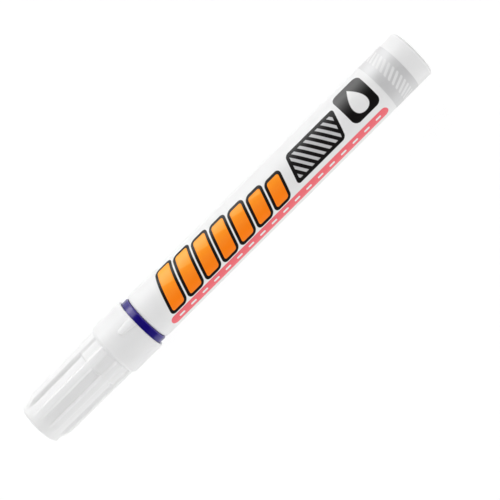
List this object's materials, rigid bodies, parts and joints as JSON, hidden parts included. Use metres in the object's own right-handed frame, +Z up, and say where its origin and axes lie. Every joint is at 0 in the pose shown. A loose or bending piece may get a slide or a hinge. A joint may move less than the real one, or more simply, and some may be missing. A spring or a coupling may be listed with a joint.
{
  "type": "paint marker",
  "caption": "Round valve-action paint marker: white metal barrel, violet-blue collar and nose, fibre bullet nib that pumps when pressed, and a ribbed white pull-off cap.",
  "frame": {"origin": "centre of the flat rear end of the barrel", "axes": "+X along the marker's axis, towards the nib; +Z up, out of the printed side of the barrel, with the marker lying on its side"},
  "size_m": [0.1377, 0.016, 0.0165],
  "materials": {
    "barrel_lacquer": "satin white lacquer on aluminium, with a printed design",
    "collar_plastic": "semi-gloss violet-blue",
    "nose_plastic": "gloss violet-blue",
    "nib_fibre": "bonded fibre, tan",
    "valve_plastic": "natural moulded plastic",
    "seat_rubber": "black rubber",
    "spring_steel": "drawn spring wire",
    "ball_steel": "polished steel",
    "cap_plastic": "semi-gloss white",
    "liner_plastic": "soft natural plastic"
  },
  "bodies": {
    "marker": {"barrel": "barrel_lacquer", "front_collar": "collar_plastic", "nib_holder": "nose_plastic", "valve_housing": "valve_plastic", "valve_seat": "seat_rubber", "spring_retainer": "valve_plastic", "valve_spring": "spring_steel"},
    "nib_pump": {"nib": "nib_fibre", "valve_stem": "valve_plastic"},
    "cap": {"cap_shell": "cap_plastic", "cap_liner": "liner_plastic"},
    "ball": {"mixing_ball": "ball_steel"}
  },
  "joints": [
    {"name": "cap_pull", "type": "slide", "parent": "marker", "child": "cap", "axis": [1, 0, 0], "range_m": [0, 0.04]},
    {"name": "nib_press", "type": "slide", "parent": "marker", "child": "nib_pump", "axis": [-1, 0, 0], "range_m": [0, 0.0025], "stiffness_N_per_m": 700, "springref_m": -0.002, "deforming": ["valve_spring"]},
    {"name": "ball_roll", "type": "slide", "parent": "marker", "child": "ball", "axis": [1, 0, 0], "range_m": [-0.026, 0.0535]}
  ]
}
